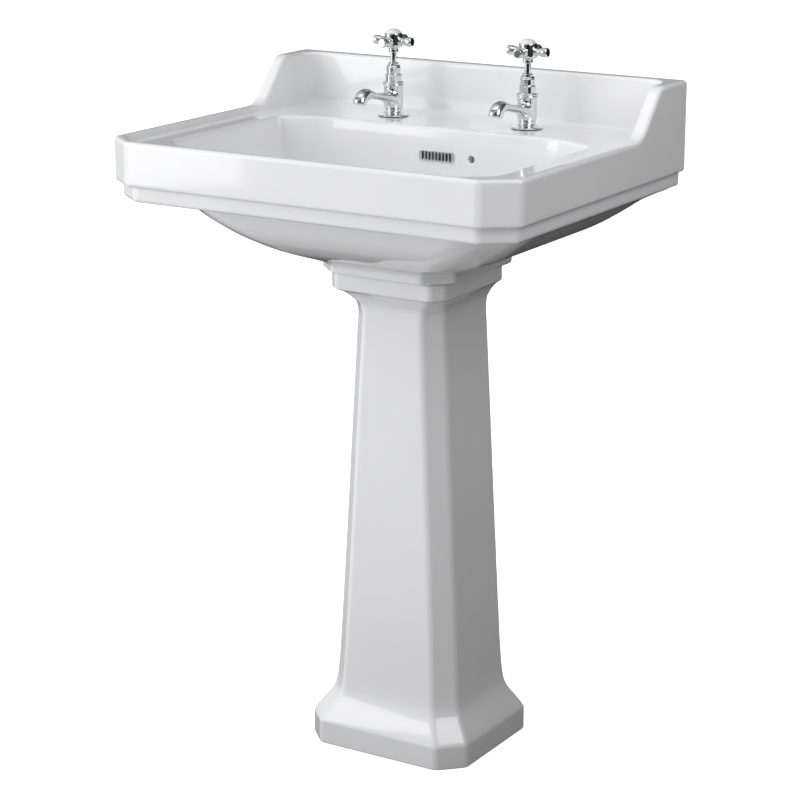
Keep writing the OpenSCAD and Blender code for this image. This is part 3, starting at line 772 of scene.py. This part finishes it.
basin = mesh_of("china_basin", basin_field, basin_low, basin_high, CELL["basin"],
                most_faces=196000)
dress(basin, "vitreous_china", "fixture", "basin")
pedestal = mesh_of("china_pedestal", pedestal_field, pedestal_low, pedestal_high,
                   CELL["pedestal"], most_faces=150000)
dress(pedestal, "vitreous_china", "fixture", "pedestal")

tap_pattern = mesh_of("tap_pattern", tap_body_field, (-22, -96, 0), (22, 22, 48), CELL["tap"])
handle_pattern = mesh_of("handle_pattern", handle_field, (-31, -31, 85), (31, 31, 113),
                         CELL["handle"])
grille = mesh_of("grille", grille_field, (-28.5, -2, -9), (28.5, 8, 9), CELL["grille"],
                 origin=(0, OVERFLOW_Y, OVERFLOW_Z))
dress(grille, "chrome", "fixture", "overflow_grille")


def copied(name, pattern, place):
    """Copy of a pattern's mesh, moved to a place in millimetres."""
    obj = link(name, pattern.data.copy())
    obj.data.transform(Matrix.Translation(Vector(place) * MM))
    return obj


for side, sign in (("hot", -1), ("cold", 1)):
    place = (sign * TAP_X, TAP_Y, LEDGE_Z)
    pillar = copied(side + "_pillar", tap_pattern, place)
    dress(pillar, "chrome", "fixture", side + "_tap_body")
    tail = turned(side + "_tail", TAIL, place, 0.12, 40, steps=1)
    dress(tail, "brass", "fixture")
    (bore, rim), thick = GASKET
    ring = [(bore, 0), (rim, 0), (rim, thick), (bore, thick)]
    gasket = turned(side + "_gasket", ring, place, 0.3)
    dress(gasket, "rubber", "fixture", side + "_base_seal")
    button = turned(side + "_button", BUTTON, place, 0.5)
    dress(button, "porcelain", side + "_handle", side + "_index")
    cross = copied(side + "_cross", handle_pattern, place)
    dress(cross, "chrome", side + "_handle", side + "_cross_handle")
for pattern in (tap_pattern, handle_pattern):
    bpy.data.objects.remove(pattern)

slots = {part["node"]: part["material_slot"] for part in frame["record"]["subparts"]}
for name, obj in frame["nodes"].items():
    if not obj.hide_render:
        paint(obj, slots[name])


# ---- studio

CAMERA_AT = (1.6313, -2.6451, 1.3572)
CAMERA_TARGET = (0.0057, 0, 0.4911)
LENS = 110.0


def camera():
    scene = bpy.context.scene
    scene.view_settings.view_transform = "Standard"
    cam = bpy.data.objects.new("camera", bpy.data.cameras.new("camera"))
    scene.collection.objects.link(cam)
    cam.data.lens = LENS
    cam.data.sensor_width = 36
    cam.data.clip_end = 100
    cam.location = CAMERA_AT
    look = Vector(CAMERA_TARGET) - cam.location
    cam.rotation_euler = look.to_track_quat("-Z", "Y").to_euler()
    scene.camera = cam


def sky():
    """Soft light from all round, strongest from the front left, and a studio for what is mirrored.

    The mirrored studio is grey, brighter on the left and above, darker low down and behind, with
    a dark upright strip in front of the sink that gives polished metal its dark line. The camera
    itself sees plain white."""
    world = bpy.data.worlds.new("studio")
    bpy.context.scene.world = world
    world.use_nodes = True
    nodes, links = world.node_tree.nodes, world.node_tree.links
    nodes.clear()
    way = nodes.new("ShaderNodeSeparateXYZ")
    links.new(nodes.new("ShaderNodeTexCoord").outputs["Generated"], way.inputs["Vector"])
    x, y, z = (way.outputs[axis] for axis in "XYZ")

    def do(kind, a, b):
        made = nodes.new("ShaderNodeMath")
        made.operation = kind
        for socket, value in zip(made.inputs, (a, b)):
            if isinstance(value, (int, float)):
                socket.default_value = value
            else:
                links.new(value, socket)
        return made.outputs["Value"]

    def steps(value, low, high, to_low, to_high):
        made = nodes.new("ShaderNodeMapRange")
        ends = (("From Min", low), ("From Max", high), ("To Min", to_low), ("To Max", to_high))
        for socket, number in ends:
            made.inputs[socket].default_value = number
        links.new(value, made.inputs["Value"])
        return made.outputs["Result"]

    def positive(value):
        return do("MAXIMUM", value, 0)

    def background(strength=None):
        made = nodes.new("ShaderNodeBackground")
        made.inputs["Color"].default_value = (1, 1, 1, 1)
        if strength is not None:
            links.new(strength, made.inputs["Strength"])
        return made.outputs["Background"]

    def switch(test, no, yes):
        made = nodes.new("ShaderNodeMixShader")
        links.new(nodes.new("ShaderNodeLightPath").outputs[test], made.inputs["Fac"])
        links.new(no, made.inputs[1])
        links.new(yes, made.inputs[2])
        return made.outputs["Shader"]

    front_left = positive(do("ADD", do("MULTIPLY", x, -0.85), do("MULTIPLY", y, -0.53)))
    matt = do("ADD", do("MULTIPLY", front_left, 1.4), 0.24)

    left, above = positive(do("MULTIPLY", x, -1)), positive(z)
    grey = do("ADD", do("ADD", do("MULTIPLY", left, 0.62), do("MULTIPLY", above, 0.38)), 0.09)
    bearing = do("DIVIDE", x, do("MAXIMUM", do("MULTIPLY", y, -1), 0.001))
    strip = steps(do("ABSOLUTE", do("SUBTRACT", bearing, 0.62), 0), 0.2, 0.3, 0.02, 1)
    mirrored = do("MULTIPLY", do("MULTIPLY", grey, steps(y, 0.1, 0.6, 1, 0.3)), strip)
    mirrored = do("MULTIPLY", mirrored, steps(z, -0.2, 0.05, 0.25, 1))

    light = switch("Is Glossy Ray", background(matt), background(mirrored))
    shown = switch("Is Camera Ray", light, background())
    links.new(shown, nodes.new("ShaderNodeOutputWorld").inputs["Surface"])


# name, place, aimed at, width and height in metres, watts
SOFTBOXES = (
    ("near_left", (-1.1, -1.2, 1.1), (0, 0, 0.7), (0.6, 1.2), 5.6),
    ("top", (0.2, -0.5, 2.6), (0, 0, 0.8), (1.6, 1.2), 5.2),
    ("near_right", (1.3, -0.3, 1.6), (0, 0, 0.8), (0.8, 0.8), 6.2))


def softbox(name, place, target, size, power):
    light = bpy.data.lights.new(name, "AREA")
    light.shape = "RECTANGLE"
    light.size, light.size_y = size
    light.energy = power
    obj = bpy.data.objects.new(name, light)
    obj.location = place
    obj.rotation_euler = (Vector(target) - obj.location).to_track_quat("-Z", "Y").to_euler()
    bpy.context.scene.collection.objects.link(obj)


FLOOR_R = 30
MAT_R = 0.5
MAT_Z = -0.001


def disc(name, radius, z, color, around=96):
    """A level disc that belongs to the stage and isn't mirrored."""
    mesh = bpy.data.meshes.new(name)
    turn = [2 * math.pi * k / around for k in range(around)]
    places = [(radius * math.cos(a), radius * math.sin(a), z) for a in turn]
    mesh.from_pydata(places, [], [list(range(around))])
    mesh.materials.append(color)
    obj = link(name, mesh)
    obj.visible_glossy = False
    return obj


def floor():
    """A pale floor for the camera, and a grey mat under the foot that the camera doesn't see: it
    keeps light from below off the sink."""
    pale = material("floor", (0.93, 0.93, 0.93), rough=(0.6, 0.7), grain=3, shade=0.004,
                    Emission_Color=(1, 1, 1, 1), Emission_Strength=0.75, Specular_IOR_Level=0.1)
    disc("floor", FLOOR_R, 0, pale).visible_diffuse = False
    grey = material("mat", (0.3, 0.3, 0.3), rough=(0.8, 0.9), grain=3, shade=0.01)
    mat = disc("mat", MAT_R, MAT_Z, grey)
    mat.visible_camera = False
    mat.visible_shadow = False


camera()
sky()
floor()
for box in SOFTBOXES:
    softbox(*box)
